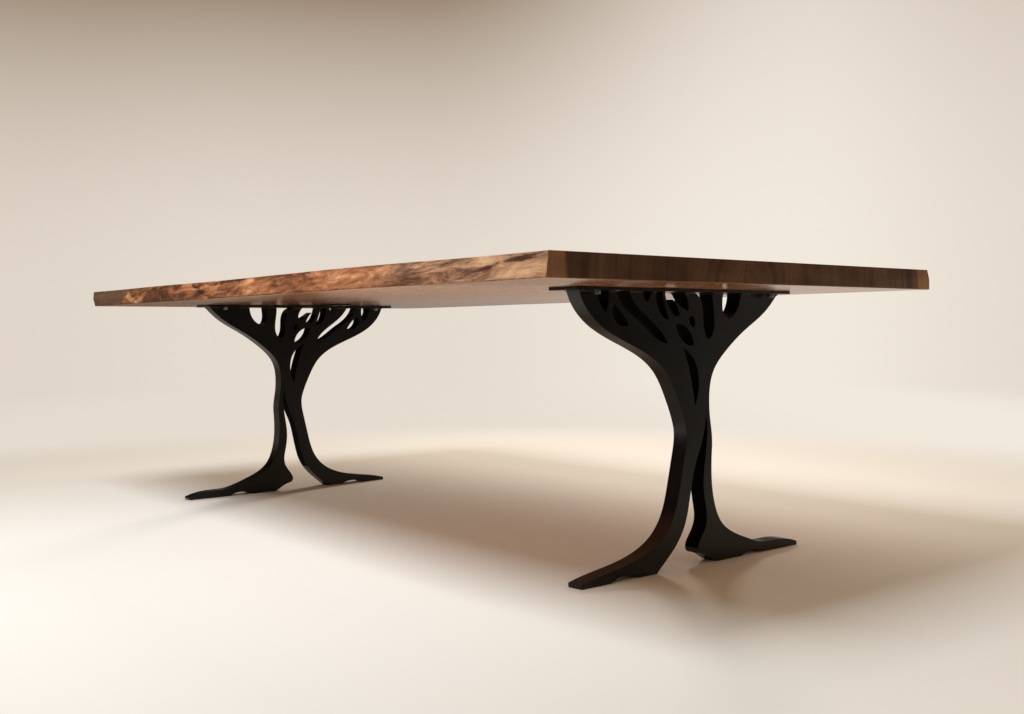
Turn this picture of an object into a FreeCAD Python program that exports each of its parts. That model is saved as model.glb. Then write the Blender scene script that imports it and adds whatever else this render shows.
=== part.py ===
"""Live-edge walnut slab table on two flat-cut steel tree legs.

Millimetres, +Z up. The origin is on the floor under the middle of the slab, X runs along the table and
Y across it. The leg at +X is drawn as seen from its own end of the table, and the leg at -X is the same
part turned half round.
"""

import FreeCAD, Part
import math
import os

from FreeCAD import Vector

# Slab
TABLE_HEIGHT = 762.0
SLAB_LENGTH = 2590.0
SLAB_WIDTH = 1480.0
SLAB_THICKNESS = 53.0
EDGE_BELLY = 5.0  # how far the live edge swells out at half its height

# How far each live edge stands in from the full width, at even stations from the -X end to the +X end
FRONT_INSETS_BELOW = (64, 52, 40, 44, 30, 12, 2, 13, 9)
FRONT_INSETS_ABOVE = (59, 58, 47, 52, 40, 22, 8, 21, 16)
BACK_INSETS_BELOW = (10, 3, 20, 30, 26, 44, 60, 72, 85)
BACK_INSETS_ABOVE = (17, 11, 26, 40, 33, 50, 70, 80, 95)

# Tree legs
END_OVERHANG = 316.0  # from the slab's end to the middle of its leg
LEG_THICKNESS = 45.0
CROWN_SPREAD = 746.0
FOOT_SPREAD = 833.0
TOE_THICKNESS = 11.0

# Fillet welds between tree and plate
WELD_LEG = 6.0
WELD_STITCH = 40.0
WELD_INSET = 2.0  # from the side of a branch tip to the end of its bead

# Socket-head bolts near the plate's corners, and the inserts that they screw into
BOLT_DIAMETER = 10.0
BOLT_LENGTH = 30.0
BOLT_HEAD_DIAMETER = 16.0
BOLT_HEAD_HEIGHT = 10.0
BOLT_CLEARANCE = 0.5
SOCKET_FLATS = 8.0
SOCKET_DEPTH = 5.0
HEAD_GAP = 3.5  # between a bolt's head and the weld beads
INSERT_WALL = 2.0
INSERT_LENGTH = 25.0
HOLE_SPARE = 3.0  # depth left free beyond an insert, bolt or screw

# Mounting plate between tree and slab
PLATE_THICKNESS = 8.0
PLATE_RIM = 7.0  # from a bolt's head to the plate's long edges
PLATE_END_MARGIN = 18.0  # beyond the farther branch tip
BOLT_END = 70.0  # from the plate's end to a bolt's middle
PLATE_CORNER = 6.0

# Flat strap from the plate towards the middle of the table
STRAP_LENGTH = 300.0
STRAP_WIDTH = 50.0
STRAP_THICKNESS = 5.0
STRAP_END_RADIUS = 10.0

# Screws at the free end of the strap
SCREW_DIAMETER = 5.0
SCREW_LENGTH = 35.0
SCREW_HEAD_DIAMETER = 10.0
SCREW_HEAD_HEIGHT = 3.0
SCREW_PITCH = 60.0
SCREW_END = 20.0
SCREW_CLEARANCE = 0.3

# The tree's drawing gives points as (across, up), and is stretched to the leg's height and spreads. The
# outline runs down the left side from the crown past the knee to the toe, up the left leg's inner side to
# the fork, down the right leg's inner side to the heel, and out to the right toe and up to the crown again.
LEFT_CORNER = (-368, 700)
TOP = LEFT_CORNER[1]
LEFT_KNEE = (8, 334)
LEFT_TOE = (-367, 0)
LEFT_BOUGH = [LEFT_CORNER, (-328, 640), (-250, 592), (-150, 551), (-72, 500), (-28, 431), (4, 352), LEFT_KNEE]
LEFT_SHIN = [
    LEFT_KNEE, (4, 316), (-14, 240), (-25, 195), (-52, 125), (-92, 82), (-145, 55), (-230, 34),
    (-367, TOE_THICKNESS),
]
LEFT_ARCH = [(-268, 0), (-215, 11), (-170, 0)]
LEFT_INNER = [
    (-108, 0), (-86, 18), (-34, 64), (0, 117), (14, 165), (24, 210), (36, 255), (58, 305), (78, 390),
]
RIGHT_INNER = [
    (78, 390), (84, 340), (73, 258), (69, 210), (77, 153), (82, 122), (74, 90), (51, 56), (54, 28),
]
RIGHT_HEEL = [(54, 28), (88, 18), (105, 8), (122, 0)]
RIGHT_ARCH = [(222, 0), (266, 11), (308, 0)]
RIGHT_TOE = [(463, 0), (466, TOE_THICKNESS / 2), (463, TOE_THICKNESS)]
RIGHT_KNEE = (106, 330)
RIGHT_CORNER = (378, TOP)
RIGHT_SHIN = [
    RIGHT_TOE[-1], (435, 19), (375, 26), (312, 28), (245, 47), (180, 73), (140, 102), (116, 145), (101, 235),
    RIGHT_KNEE,
]
RIGHT_BOUGH = [
    RIGHT_KNEE, (93, 425), (108, 494), (160, 549), (243, 605), (322, 650), (363, 684), RIGHT_CORNER,
]

# Gaps between the branch tips, open to the plate, from right to left. A gap is a list of curves, and the
# third one has a twig standing in it.
TOP_GAPS = [
    [[(219, TOP), (206, 658), (188, 641), (168, 635), (156, 641), (147, 665), (150, TOP)]],
    [[(107, TOP), (113, 640), (103, 590), (92, 582), (82, 590), (69, 656), (37, TOP)]],
    [
        [(-3, TOP), (9, 682), (14, 664), (8, 652)],
        [(8, 652), (-18, 665), (-45, 682)],
        [(-45, 682), (-28, 662), (-19, 645)],
        [(-19, 645), (-31, 640), (-46, 646), (-68, 678), (-74, TOP)],
    ],
    [
        [(-86, TOP), (-75, 668), (-60, 631)],
        [(-60, 631), (-85, 641), (-101, 663), (-106, TOP)],
    ],
    [
        [(-125, TOP), (-130, 684), (-139, 675)],
        [(-139, 675), (-149, 684), (-154, TOP)],
    ],
    [
        [(-203, TOP), (-149, 645), (-104, 614), (-64, 571)],
        [(-64, 571), (-101, 582), (-160, 621), (-220, 662), (-246, TOP)],
    ],
    [
        [(-272, TOP), (-272, 672), (-280, 648)],
        [(-280, 648), (-302, 674), (-308, TOP)],
    ],
]

# Gaps closed all round, each of two curves between pointed ends: beside the long gap, above the trunk,
# next to the twig, and the split in the trunk
CLOSED_GAPS = [
    [
        [(-252, 669), (-221, 641), (-204, 619)],
        [(-204, 619), (-240, 621), (-260, 650), (-252, 669)],
    ],
    [
        [(-36, 622), (-17, 622), (6, 611), (25, 590), (32, 566)],
        [(32, 566), (12, 567), (-20, 588), (-36, 622)],
    ],
    [
        [(16, 634), (28, 640), (37, 627), (31, 611)],
        [(31, 611), (20, 621), (16, 634)],
    ],
    [
        [(-8, 563), (18, 545), (41, 518), (51, 485), (36, 411)],
        [(36, 411), (18, 495), (-8, 563)],
    ],
]

SLAB_BOTTOM = TABLE_HEIGHT - SLAB_THICKNESS
PLATE_BOTTOM = SLAB_BOTTOM - PLATE_THICKNESS
LEG_X = SLAB_LENGTH / 2 - END_OVERHANG
HEIGHT_STRETCH = PLATE_BOTTOM / TOP
CROWN_STRETCH = CROWN_SPREAD / (RIGHT_CORNER[0] - LEFT_CORNER[0])
FOOT_STRETCH = FOOT_SPREAD / (RIGHT_TOE[1][0] - LEFT_TOE[0])
BOLT_OFFSET = LEG_THICKNESS / 2 + WELD_LEG + HEAD_GAP + BOLT_HEAD_DIAMETER / 2
PLATE_WIDTH = 2 * BOLT_OFFSET + BOLT_HEAD_DIAMETER + 2 * PLATE_RIM
PLATE_INNER = LEG_X - PLATE_WIDTH / 2
PLATE_HALF = CROWN_STRETCH * max(RIGHT_CORNER[0], -LEFT_CORNER[0]) + PLATE_END_MARGIN
INSERT_DIAMETER = BOLT_DIAMETER + 2 * INSERT_WALL
UP = Vector(0, 0, 1)


def on_drawing(point):
    """A point of the tree's drawing, on the middle plane of the +X leg."""
    across, up = point
    rise = up / TOP
    stretch = FOOT_STRETCH + (CROWN_STRETCH - FOOT_STRETCH) * rise
    return Vector(LEG_X, across * stretch, up * HEIGHT_STRETCH)


def curve(points):
    """A smooth edge through points of the drawing."""
    spline = Part.BSplineCurve()
    spline.interpolate([on_drawing(p) for p in points])
    return spline.toShape()


def line(start, end):
    return Part.makeLine(on_drawing(start), on_drawing(end))


def arc(points):
    return Part.Arc(*[on_drawing(p) for p in points]).toShape()


def turned(shape):
    """The same thing at the other end of the table."""
    copy = shape.copy()
    copy.rotate(Vector(0, 0, 0), UP, 180)
    return copy


def box_between(low, high):
    return Part.makeBox(high.x - low.x, high.y - low.y, high.z - low.z, low)


def live_edge(insets, side, height, reach):
    """A wavy edge along the slab, at one height, on the front (-1) or back (+1) side."""
    pitch = SLAB_LENGTH / (len(insets) - 1)
    spline = Part.BSplineCurve()
    spline.interpolate([
        Vector(-SLAB_LENGTH / 2 + i * pitch, side * (SLAB_WIDTH / 2 - inset + reach), height)
        for i, inset in enumerate(insets)
    ])
    return spline.toShape()


def slab_section(front_insets, back_insets, height, reach):
    front = live_edge(front_insets, -1, height, reach)
    back = live_edge(back_insets, 1, height, reach)
    ends = [Part.makeLine(front.Vertexes[i].Point, back.Vertexes[i].Point) for i in (0, 1)]
    return Part.Wire([front, ends[1], back, ends[0]])


def halfway(below, above):
    return [(a + b) / 2 for a, b in zip(below, above)]


def walnut_slab():
    below = slab_section(FRONT_INSETS_BELOW, BACK_INSETS_BELOW, SLAB_BOTTOM, 0)
    middle = slab_section(
        halfway(FRONT_INSETS_BELOW, FRONT_INSETS_ABOVE),
        halfway(BACK_INSETS_BELOW, BACK_INSETS_ABOVE),
        SLAB_BOTTOM + SLAB_THICKNESS / 2,
        EDGE_BELLY,
    )
    above = slab_section(FRONT_INSETS_ABOVE, BACK_INSETS_ABOVE, TABLE_HEIGHT, 0)
    slab = Part.makeLoft([below, middle, above], True, True)
    insert_depth = max(INSERT_LENGTH, BOLT_LENGTH - PLATE_THICKNESS) + HOLE_SPARE
    holes = [
        Part.makeCylinder(INSERT_DIAMETER / 2, insert_depth, Vector(x, y, SLAB_BOTTOM))
        for x, y in bolt_places()
    ]
    screw_depth = SCREW_LENGTH - STRAP_THICKNESS + HOLE_SPARE
    holes += [
        Part.makeCylinder(SCREW_DIAMETER / 2, screw_depth, Vector(x, 0, SLAB_BOTTOM))
        for x in screw_places()
    ]
    holes += [turned(hole) for hole in holes]
    return slab.cut(holes)


def flat_cut(outline):
    """A plate of the leg's thickness, cut square to this outline."""
    faces = [outline.copy(), outline.copy()]
    for face, side in zip(faces, (-1, 1)):
        face.translate(Vector(side * LEG_THICKNESS / 2, 0, 0))
    return Part.makeLoft(faces, True, True)


def tree_leg():
    edges = [curve(LEFT_BOUGH), curve(LEFT_SHIN)]
    edges.append(line(LEFT_SHIN[-1], LEFT_TOE))
    edges.append(line(LEFT_TOE, LEFT_ARCH[0]))
    edges.append(arc(LEFT_ARCH))
    edges.append(line(LEFT_ARCH[-1], LEFT_INNER[0]))
    edges += [curve(LEFT_INNER), curve(RIGHT_INNER), curve(RIGHT_HEEL)]
    edges.append(line(RIGHT_HEEL[-1], RIGHT_ARCH[0]))
    edges.append(arc(RIGHT_ARCH))
    edges.append(line(RIGHT_ARCH[-1], RIGHT_TOE[0]))
    edges += [arc(RIGHT_TOE), curve(RIGHT_SHIN), curve(RIGHT_BOUGH)]
    corner = RIGHT_CORNER
    for gap in TOP_GAPS:
        edges.append(line(corner, gap[0][0]))
        edges += [curve(points) for points in gap]
        corner = gap[-1][-1]
    edges.append(line(corner, LEFT_CORNER))
    gaps = [flat_cut(Part.Wire([curve(points) for points in gap])) for gap in CLOSED_GAPS]
    return flat_cut(Part.Wire(edges)).cut(gaps)


def branch_tips():
    """The stretches of the tree's top line that meet the plate, from right to left."""
    ends = [RIGHT_CORNER]
    for gap in TOP_GAPS:
        ends += [gap[0][0], gap[-1][-1]]
    ends.append(LEFT_CORNER)
    across = [on_drawing(p).y for p in ends]
    return [(across[i + 1], across[i]) for i in range(0, len(across), 2)]


def weld_bead(start, end, side):
    """A three-cornered bead under the plate, along one face of the tree."""
    face_x = LEG_X + side * LEG_THICKNESS / 2
    corners = [
        Vector(face_x, start, PLATE_BOTTOM),
        Vector(face_x + side * WELD_LEG, start, PLATE_BOTTOM),
        Vector(face_x, start, PLATE_BOTTOM - WELD_LEG),
    ]
    section = Part.Face(Part.makePolygon(corners + corners[:1]))
    return section.extrude(Vector(0, end - start, 0))


def weld_beads():
    """One bead on each face of a narrow branch tip, and one at each end of a wide tip."""
    beads = []
    for left, right in branch_tips():
        left, right = left + WELD_INSET, right - WELD_INSET
        stitches = [(left, right)]
        if right - left > 3 * WELD_STITCH:
            stitches = [(left, left + WELD_STITCH), (right - WELD_STITCH, right)]
        beads += [weld_bead(start, end, side) for start, end in stitches for side in (-1, 1)]
    return Part.makeCompound(beads)


def bolt_places():
    across = PLATE_HALF - BOLT_END
    return [(LEG_X + i * BOLT_OFFSET, j * across) for i in (-1, 1) for j in (-1, 1)]


def mounting_plate():
    low = Vector(PLATE_INNER, -PLATE_HALF, PLATE_BOTTOM)
    plate = box_between(low, Vector(PLATE_INNER + PLATE_WIDTH, PLATE_HALF, SLAB_BOTTOM))
    upright = [e for e in plate.Edges if abs(e.tangentAt(e.FirstParameter).z) > 0.5]
    plate = plate.makeFillet(PLATE_CORNER, upright)
    radius = BOLT_DIAMETER / 2 + BOLT_CLEARANCE
    holes = [Part.makeCylinder(radius, PLATE_THICKNESS, Vector(x, y, PLATE_BOTTOM)) for x, y in bolt_places()]
    return plate.cut(holes)


def screw_places():
    """The strap's screws, counted from its free end."""
    end = PLATE_INNER - STRAP_LENGTH + SCREW_END
    return [end, end + SCREW_PITCH]


def brace_strap():
    low = Vector(PLATE_INNER - STRAP_LENGTH, -STRAP_WIDTH / 2, SLAB_BOTTOM - STRAP_THICKNESS)
    strap = box_between(low, Vector(PLATE_INNER, STRAP_WIDTH / 2, SLAB_BOTTOM))
    free_end = [
        e for e in strap.Edges
        if abs(e.tangentAt(e.FirstParameter).z) > 0.5 and e.CenterOfMass.x < PLATE_INNER - STRAP_LENGTH / 2
    ]
    strap = strap.makeFillet(STRAP_END_RADIUS, free_end)
    radius = SCREW_DIAMETER / 2 + SCREW_CLEARANCE
    holes = [Part.makeCylinder(radius, STRAP_THICKNESS, Vector(x, 0, low.z)) for x in screw_places()]
    return strap.cut(holes)


def hexagon(flats, base):
    radius = flats / math.sqrt(3)
    corners = [
        base + Vector(radius * math.cos(k * math.pi / 3), radius * math.sin(k * math.pi / 3), 0)
        for k in range(7)
    ]
    return Part.Face(Part.makePolygon(corners))


def plate_bolts():
    bolts = []
    for x, y in bolt_places():
        seat = Vector(x, y, PLATE_BOTTOM)
        under = seat - UP * BOLT_HEAD_HEIGHT
        head = Part.makeCylinder(BOLT_HEAD_DIAMETER / 2, BOLT_HEAD_HEIGHT, under)
        head = head.cut(hexagon(SOCKET_FLATS, under).extrude(UP * SOCKET_DEPTH))
        bolts.append(head.fuse(Part.makeCylinder(BOLT_DIAMETER / 2, BOLT_LENGTH, seat)))
    return Part.makeCompound(bolts)


def threaded_inserts():
    inserts = []
    for x, y in bolt_places():
        seat = Vector(x, y, SLAB_BOTTOM)
        bore = Part.makeCylinder(BOLT_DIAMETER / 2, INSERT_LENGTH, seat)
        inserts.append(Part.makeCylinder(INSERT_DIAMETER / 2, INSERT_LENGTH, seat).cut(bore))
    return Part.makeCompound(inserts)


def strap_screws():
    """Flat heads under the strap, with shanks that run up into the slab."""
    screws = []
    for x in screw_places():
        seat = Vector(x, 0, SLAB_BOTTOM - STRAP_THICKNESS)
        head = Part.makeCylinder(SCREW_HEAD_DIAMETER / 2, SCREW_HEAD_HEIGHT, seat, UP * -1)
        screws.append(head.fuse(Part.makeCylinder(SCREW_DIAMETER / 2, SCREW_LENGTH, seat)))
    return Part.makeCompound(screws)


def main():
    os.makedirs("parts", exist_ok=True)
    walnut_slab().exportStep("parts/walnut_slab.step")
    pieces = {
        "tree_leg": tree_leg(),
        "mounting_plate": mounting_plate(),
        "brace_strap": brace_strap(),
        "weld_beads": weld_beads(),
        "plate_bolts": plate_bolts(),
        "threaded_inserts": threaded_inserts(),
        "strap_screws": strap_screws(),
    }
    for name, shape in pieces.items():
        shape.exportStep(f"parts/{name}_right.step")
        turned(shape).exportStep(f"parts/{name}_left.step")


main()
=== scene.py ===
"""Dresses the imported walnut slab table: sculpted live edges, cut steel trees, fasteners, finishes and stage.

Every piece is in metres in the table's own frame: the origin is on the floor under the middle of the slab,
X runs along the table and Z is up. The pieces of the right leg, at +X, are modelled, and those of the left
leg are the same ones turned half round, apart from one cut that leans in the right tree only.
"""

import math
from collections import namedtuple

import bpy
from bpy.props import FloatProperty, FloatVectorProperty, PointerProperty
from mathutils import Matrix, Vector


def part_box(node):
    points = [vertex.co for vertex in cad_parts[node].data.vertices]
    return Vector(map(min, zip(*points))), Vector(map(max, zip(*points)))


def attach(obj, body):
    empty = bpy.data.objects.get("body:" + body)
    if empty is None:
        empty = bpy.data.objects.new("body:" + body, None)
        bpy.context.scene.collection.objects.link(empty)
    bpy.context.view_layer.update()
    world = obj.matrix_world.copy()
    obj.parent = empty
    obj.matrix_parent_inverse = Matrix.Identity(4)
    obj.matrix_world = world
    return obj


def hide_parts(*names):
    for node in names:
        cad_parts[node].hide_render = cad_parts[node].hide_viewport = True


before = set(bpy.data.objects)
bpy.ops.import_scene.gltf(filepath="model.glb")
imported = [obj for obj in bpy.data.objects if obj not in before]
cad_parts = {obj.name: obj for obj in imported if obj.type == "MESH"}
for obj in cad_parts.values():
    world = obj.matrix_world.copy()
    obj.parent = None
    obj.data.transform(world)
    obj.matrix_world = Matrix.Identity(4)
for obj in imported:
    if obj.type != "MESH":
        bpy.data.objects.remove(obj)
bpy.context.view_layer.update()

bl_info = {
    "name": "Walnut Slab Table",
    "version": (1, 0, 0),
    "blender": (4, 5, 0),
    "location": "View3D > Sidebar > Slab Table",
    "description": "Builds the finished pieces of a live-edge slab table on cut steel trees",
    "category": "Object",
}

MM = 0.001
SIDES = ("right", "left")
SLAB_LOW, SLAB_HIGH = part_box("walnut_slab")
TREE_LOW, TREE_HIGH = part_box("tree_leg_right")
PLATE_LOW, PLATE_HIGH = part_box("mounting_plate_right")
STRAP_LOW, STRAP_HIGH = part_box("brace_strap_right")
SLAB_THICKNESS = SLAB_HIGH.z - SLAB_LOW.z

NIL = 1e-6  # a length that counts as none
CLOSE = 1e-5  # a distance that counts as on a face
OVERRUN = 10 * MM  # how far a cutter stands out of the face that it cuts
SPARE = 3 * MM  # how much deeper a blind hole is than its fastener


def length(name, description, millimetres):
    return FloatProperty(name=name, description=description, default=millimetres * MM, min=0.0,
                         subtype="DISTANCE", unit="LENGTH")


def power(name, description, watts):
    return FloatProperty(name=name, description=description, default=watts, min=0.0, unit="POWER")


def colour(name, description, red, green, blue):
    return FloatVectorProperty(name=name, description=description, default=(red, green, blue),
                               size=3, min=0.0, max=1.0, subtype="COLOR")


class SlabSettings(bpy.types.PropertyGroup):
    """The live-edge slab."""
    arris: length("Long arris", "Rounding along the live edges", 3.0)
    end_arris: length("End arris", "Rounding round the sawn ends", 1.2)
    calm_end: length("Calm end", "Length next to a sawn end over which the lumps fade out", 110.0)
    corner_hollow: length("Corner hollow", "Depth dressed off the front edge's bulge at the near end", 5.0)
    lump_depth: length("Lump depth", "Height of the live edge's long lumps", 16.0)
    knuckle_depth: length("Knuckle depth", "Height of the smaller bumps on the lumps", 7.0)
    tool_depth: length("Tool mark depth", "Height of the marks left by sanding the edge", 1.6)
    pith: length("Pith inset", "How far the heart of the log lies in front of the middle", 130.0)
    pith_drop: length("Pith drop", "How far the heart of the log lies below the slab", 12.0)
    check: length("Check inset", "How far the check in the end grain lies in front of the middle", 133.0)
    sapwood: length("Sapwood width", "Width of the pale band along each live edge", 48.0)
    ring: length("Ring width", "Mean width of a growth ring", 5.5)
    heart: colour("Heartwood", "Middle tone of the heartwood", 0.150, 0.078, 0.043)
    raw: colour("Raw wood", "Middle tone of the unoiled underside", 0.520, 0.222, 0.100)
    dark: colour("Dark heartwood", "Dark bands and streaks of the heartwood", 0.046, 0.021, 0.011)
    light: colour("Light heartwood", "Light bands of the heartwood", 0.270, 0.150, 0.082)
    sap: colour("Sapwood", "Pale wood next to the bark", 0.300, 0.150, 0.075)
    plum: colour("Edge plum", "Purple-brown wood of the live edge", 0.140, 0.054, 0.025)
    russet: colour("Edge russet", "Red-brown wood of the live edge", 0.300, 0.112, 0.048)
    amber: colour("Edge amber", "Orange wood of the live edge", 0.490, 0.208, 0.092)
    cream: colour("Edge cream", "Palest wood of the live edge", 0.740, 0.460, 0.240)
    umber: colour("Edge umber", "Grey-brown wood at the near end of the live edge", 0.168, 0.085, 0.054)
    tan: colour("Edge tan", "Pale brown wood at the near end of the live edge", 0.400, 0.208, 0.115)
    straw: colour("Edge straw", "Palest wood at the near end of the live edge", 0.650, 0.400, 0.230)
    burnt: colour("Edge burnt", "Darkest wood of the live edge", 0.070, 0.026, 0.012)
    dull: colour("Edge dull", "Flat brown wood at the far end of the live edge", 0.128, 0.078, 0.050)


class SteelSettings(bpy.types.PropertyGroup):
    """The painted steel of trees, plates and straps."""
    tree_ease: length("Tree edge", "Easing of the cut edges of the trees", 1.2)
    knee: length("Knee rounding", "How far the rounding of a knee reaches from it", 32.0)
    heel_reach: length("Heel reach", "How far the swelling of the heel reaches from its corner", 46.0)
    heel_swell: length("Heel swell", "How far the heel swells towards the other foot", 8.0)
    lean: length("Leaning cut", "How much narrower the right tree's long gap is at the back", 5.0)
    # walls of a gap narrower than this take the dull coat: painted shade, darker where they shade each other
    narrow_gap: length("Narrow gap", "Width up to which the walls of a gap stay rough and dull", 110.0)
    plate_ease: length("Plate edge", "Easing of the edges of plates and straps", 0.7)
    plate_corner: length("Plate corner", "Rounding of the plates' corners", 6.0)
    strap_corner: length("Strap corner", "Rounding of a strap's free end", 10.0)
    paint: colour("Paint", "Satin black paint", 0.0042, 0.0036, 0.0028)
    bare: colour("Worn paint", "Paint where it is rubbed thin", 0.014, 0.012, 0.010)


class FastenerSettings(bpy.types.PropertyGroup):
    """Welds, bolts, screws and inserts."""
    bead_radius: length("Bead radius", "Half the thickness of a weld bead", 5.0)
    bead_ripple: length("Bead ripple", "Distance from one ripple of a bead to the next", 2.6)
    bolt_head: length("Bolt head", "Diameter of a bolt's head", 16.0)
    head_edge: length("Head edge", "Rounding of a bolt head's rim", 0.7)
    socket_flats: length("Bolt socket", "Across the flats of a bolt's socket", 8.0)
    socket_depth: length("Socket depth", "Depth of a bolt's socket", 5.0)
    bolt_shank: length("Bolt shank", "Diameter of a bolt's shank", 10.0)
    bolt_gap: length("Bolt gap", "Clearance round a bolt in its hole", 0.5)
    screw_shank: length("Screw shank", "Diameter of a screw's shank", 5.0)
    screw_gap: length("Screw gap", "Clearance round a screw in its hole", 0.15)
    recess: length("Screw recess", "Depth of the cross cut in a screw head", 1.7)
    recess_arm: length("Recess arm", "Length of each arm of the cross", 2.6)
    recess_width: length("Recess width", "Width of each arm of the cross", 0.9)
    weld: colour("Weld", "Brushed weld metal", 0.070, 0.066, 0.062)
    weld_tint: colour("Weld tint", "Heat colour of the weld metal", 0.160, 0.130, 0.110)
    zinc: colour("Zinc", "Zinc plating", 0.310, 0.308, 0.300)
    zinc_tint: colour("Zinc tint", "Yellowish clouds of the zinc plating", 0.620, 0.600, 0.500)
    brass: colour("Brass", "Plain brass", 0.660, 0.460, 0.190)
    brass_tint: colour("Brass tint", "Tarnish of the brass", 0.500, 0.320, 0.120)


class StageSettings(bpy.types.PropertyGroup):
    """Floor, backdrop, light and camera."""
    floor: colour("Floor", "Pale floor", 0.800, 0.785, 0.762)
    glow: colour("Backdrop", "Backdrop where it is brightest", 0.890, 0.815, 0.725)
    dusk: colour("Backdrop shade", "Backdrop where it is darkest", 0.300, 0.215, 0.142)
    lens: FloatProperty(name="Lens", description="Focal length of the camera", default=39.27, unit="CAMERA")
    key: power("Key", "Power of the front lamp", 106.0)
    top: power("Top", "Power of the overhead lamp", 25.0)
    back: power("Back", "Power of the lamp behind the table", 154.0)
    sky: FloatProperty(name="Sky", description="Strength of the light from all round", default=0.34)
    tint: colour("Sky colour", "Colour of the light from all round", 1.0, 0.73, 0.47)
    white: colour("Front lamp colour", "Colour of the front lamp", 0.93, 0.98, 1.0)
    warm: colour("Rear lamp colour", "Colour of the lamps above and behind the table", 1.0, 0.905, 0.785)


class TableSettings(bpy.types.PropertyGroup):
    """All settings of the table."""
    slab: PointerProperty(type=SlabSettings)
    steel: PointerProperty(type=SteelSettings)
    fasteners: PointerProperty(type=FastenerSettings)
    stage: PointerProperty(type=StageSettings)


class Wire:
    """A shader value in Python arithmetic: an expression on wires adds its Math nodes."""

    def __init__(self, finish, socket):
        self.finish = finish
        self.socket = socket

    def __add__(self, other):
        return self.finish.math("ADD", self, other)

    def __sub__(self, other):
        return self.finish.math("SUBTRACT", self, other)

    def __rsub__(self, other):
        return self.finish.math("SUBTRACT", other, self)

    def __mul__(self, other):
        return self.finish.math("MULTIPLY", self, other)

    def __truediv__(self, other):
        return self.finish.math("DIVIDE", self, other)

    def __pow__(self, other):
        return self.finish.math("POWER", self, other)

    def __abs__(self):
        return self.finish.math("ABSOLUTE", self)

    __radd__ = __add__
    __rmul__ = __mul__


class Finish:
    """A material, wired up one node at a time."""

    def __init__(self, name):
        self.material = bpy.data.materials.new(name)
        self.material.use_nodes = True
        self.tree = self.material.node_tree
        self.tree.nodes.clear()

    def node(self, kind, settings, sockets, out=0):
        """Adds a node with its settings, then its sockets' values or links, and gives one of its outputs."""
        made = self.tree.nodes.new(kind)
        for key, value in settings.items():
            if key == "stops":
                self.set_stops(made.color_ramp, value)
            else:
                setattr(made, key, value)
        for key, value in sockets.items():
            socket = self.socket(made.inputs, key)
            if isinstance(value, Wire):
                self.tree.links.new(value.socket, socket)
            else:
                socket.default_value = value
        return Wire(self, self.socket(made.outputs, out))

    @staticmethod
    def socket(sockets, key):
        if isinstance(key, int):
            return sockets[key]
        return next(s for s in sockets if s.name == key and s.enabled)

    @staticmethod
    def set_stops(ramp, stops):
        while len(ramp.elements) < len(stops):
            ramp.elements.new(0.5)
        for element, (position, shade) in zip(ramp.elements, stops):
            element.position = position
            element.color = (*shade, 1)

    def math(self, operation, *values):
        return self.node("ShaderNodeMath", {"operation": operation}, dict(enumerate(values)))

    def vector(self, x, y, z):
        return self.node("ShaderNodeCombineXYZ", {}, {"X": x, "Y": y, "Z": z})

    def place(self, scale, turn=(0, 0, 0), shift=(0, 0, 0)):
        """Object coordinates, scaled, turned and shifted by a Mapping node."""
        coordinates = self.node("ShaderNodeTexCoord", {}, {}, "Object")
        return self.node("ShaderNodeMapping", {"vector_type": "POINT"},
                         {"Vector": coordinates, "Scale": scale, "Rotation": turn, "Location": shift})

    def axes(self, scale=(1, 1, 1)):
        """The object's x, y and z, each times its scale."""
        vector = self.place(scale)
        return [self.node("ShaderNodeSeparateXYZ", {}, {"Vector": vector}, out) for out in "XYZ"]

    def noise(self, vector, detail=3.0, roughness=0.55, distortion=0.0):
        return self.node("ShaderNodeTexNoise", {"noise_dimensions": "3D"}, {
            "Vector": vector, "Scale": 1.0, "Detail": detail, "Roughness": roughness,
            "Distortion": distortion,
        })

    def cloud(self, scale, detail=3.0, roughness=0.55, turn=(0, 0, 0), shift=(0, 0, 0)):
        """Noise on the object's coordinates: a larger scale along an axis is finer."""
        return self.noise(self.place(scale, turn, shift), detail, roughness)

    def step(self, value, low, high):
        """0 below low, 1 above high, and smooth between them."""
        return self.node("ShaderNodeMapRange", {"interpolation_type": "SMOOTHSTEP", "clamp": True},
                         {"Value": value, "From Min": low, "From Max": high})

    def blend(self, first, second, share):
        """A colour between two, by share."""
        first, second = [c if isinstance(c, Wire) else (*c, 1) for c in (first, second)]
        return self.node("ShaderNodeMix", {"data_type": "RGBA", "clamp_factor": True},
                         {"Factor": share, "A": first, "B": second}, "Result")

    def ramp(self, value, stops):
        """A colour from a row of (position, colour) stops."""
        return self.node("ShaderNodeValToRGB", {"stops": stops}, {"Fac": value}, "Color")

    def darken(self, shade, share):
        """A colour multiplied by a grey value."""
        grey = self.vector(share, share, share)
        return self.node("ShaderNodeVectorMath", {"operation": "MULTIPLY"}, {0: shade, 1: grey})

    def bump(self, height, distance):
        return self.node("ShaderNodeBump", {}, {"Height": height, "Distance": distance, "Strength": 1.0})

    def ray(self, kind):
        """1 for rays of a kind, such as Is Camera Ray, and 0 for others."""
        return self.node("ShaderNodeLightPath", {}, {}, kind)

    def mixed(self, share, first, second):
        """A shader between two, by share."""
        return self.node("ShaderNodeMixShader", {}, {0: share, 1: first, 2: second})

    def clear(self):
        return self.node("ShaderNodeBsdfTransparent", {}, {})

    def surface(self, **sockets):
        """Ends the material in one shader: underscores in the names stand for spaces."""
        values = {key.replace("_", " "): value for key, value in sockets.items()}
        return self.end_in(self.node("ShaderNodeBsdfPrincipled", {}, values))

    def end_in(self, shader):
        output = self.tree.nodes.new("ShaderNodeOutputMaterial")
        self.tree.links.new(shader.socket, output.inputs["Surface"])
        return self.material


# The live edges' mean lines, as (slope, y at the middle of the table): the sapwood runs along them
FRONT_LINE = (-0.020, -0.702)
BACK_LINE = (-0.033, 0.694)


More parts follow.
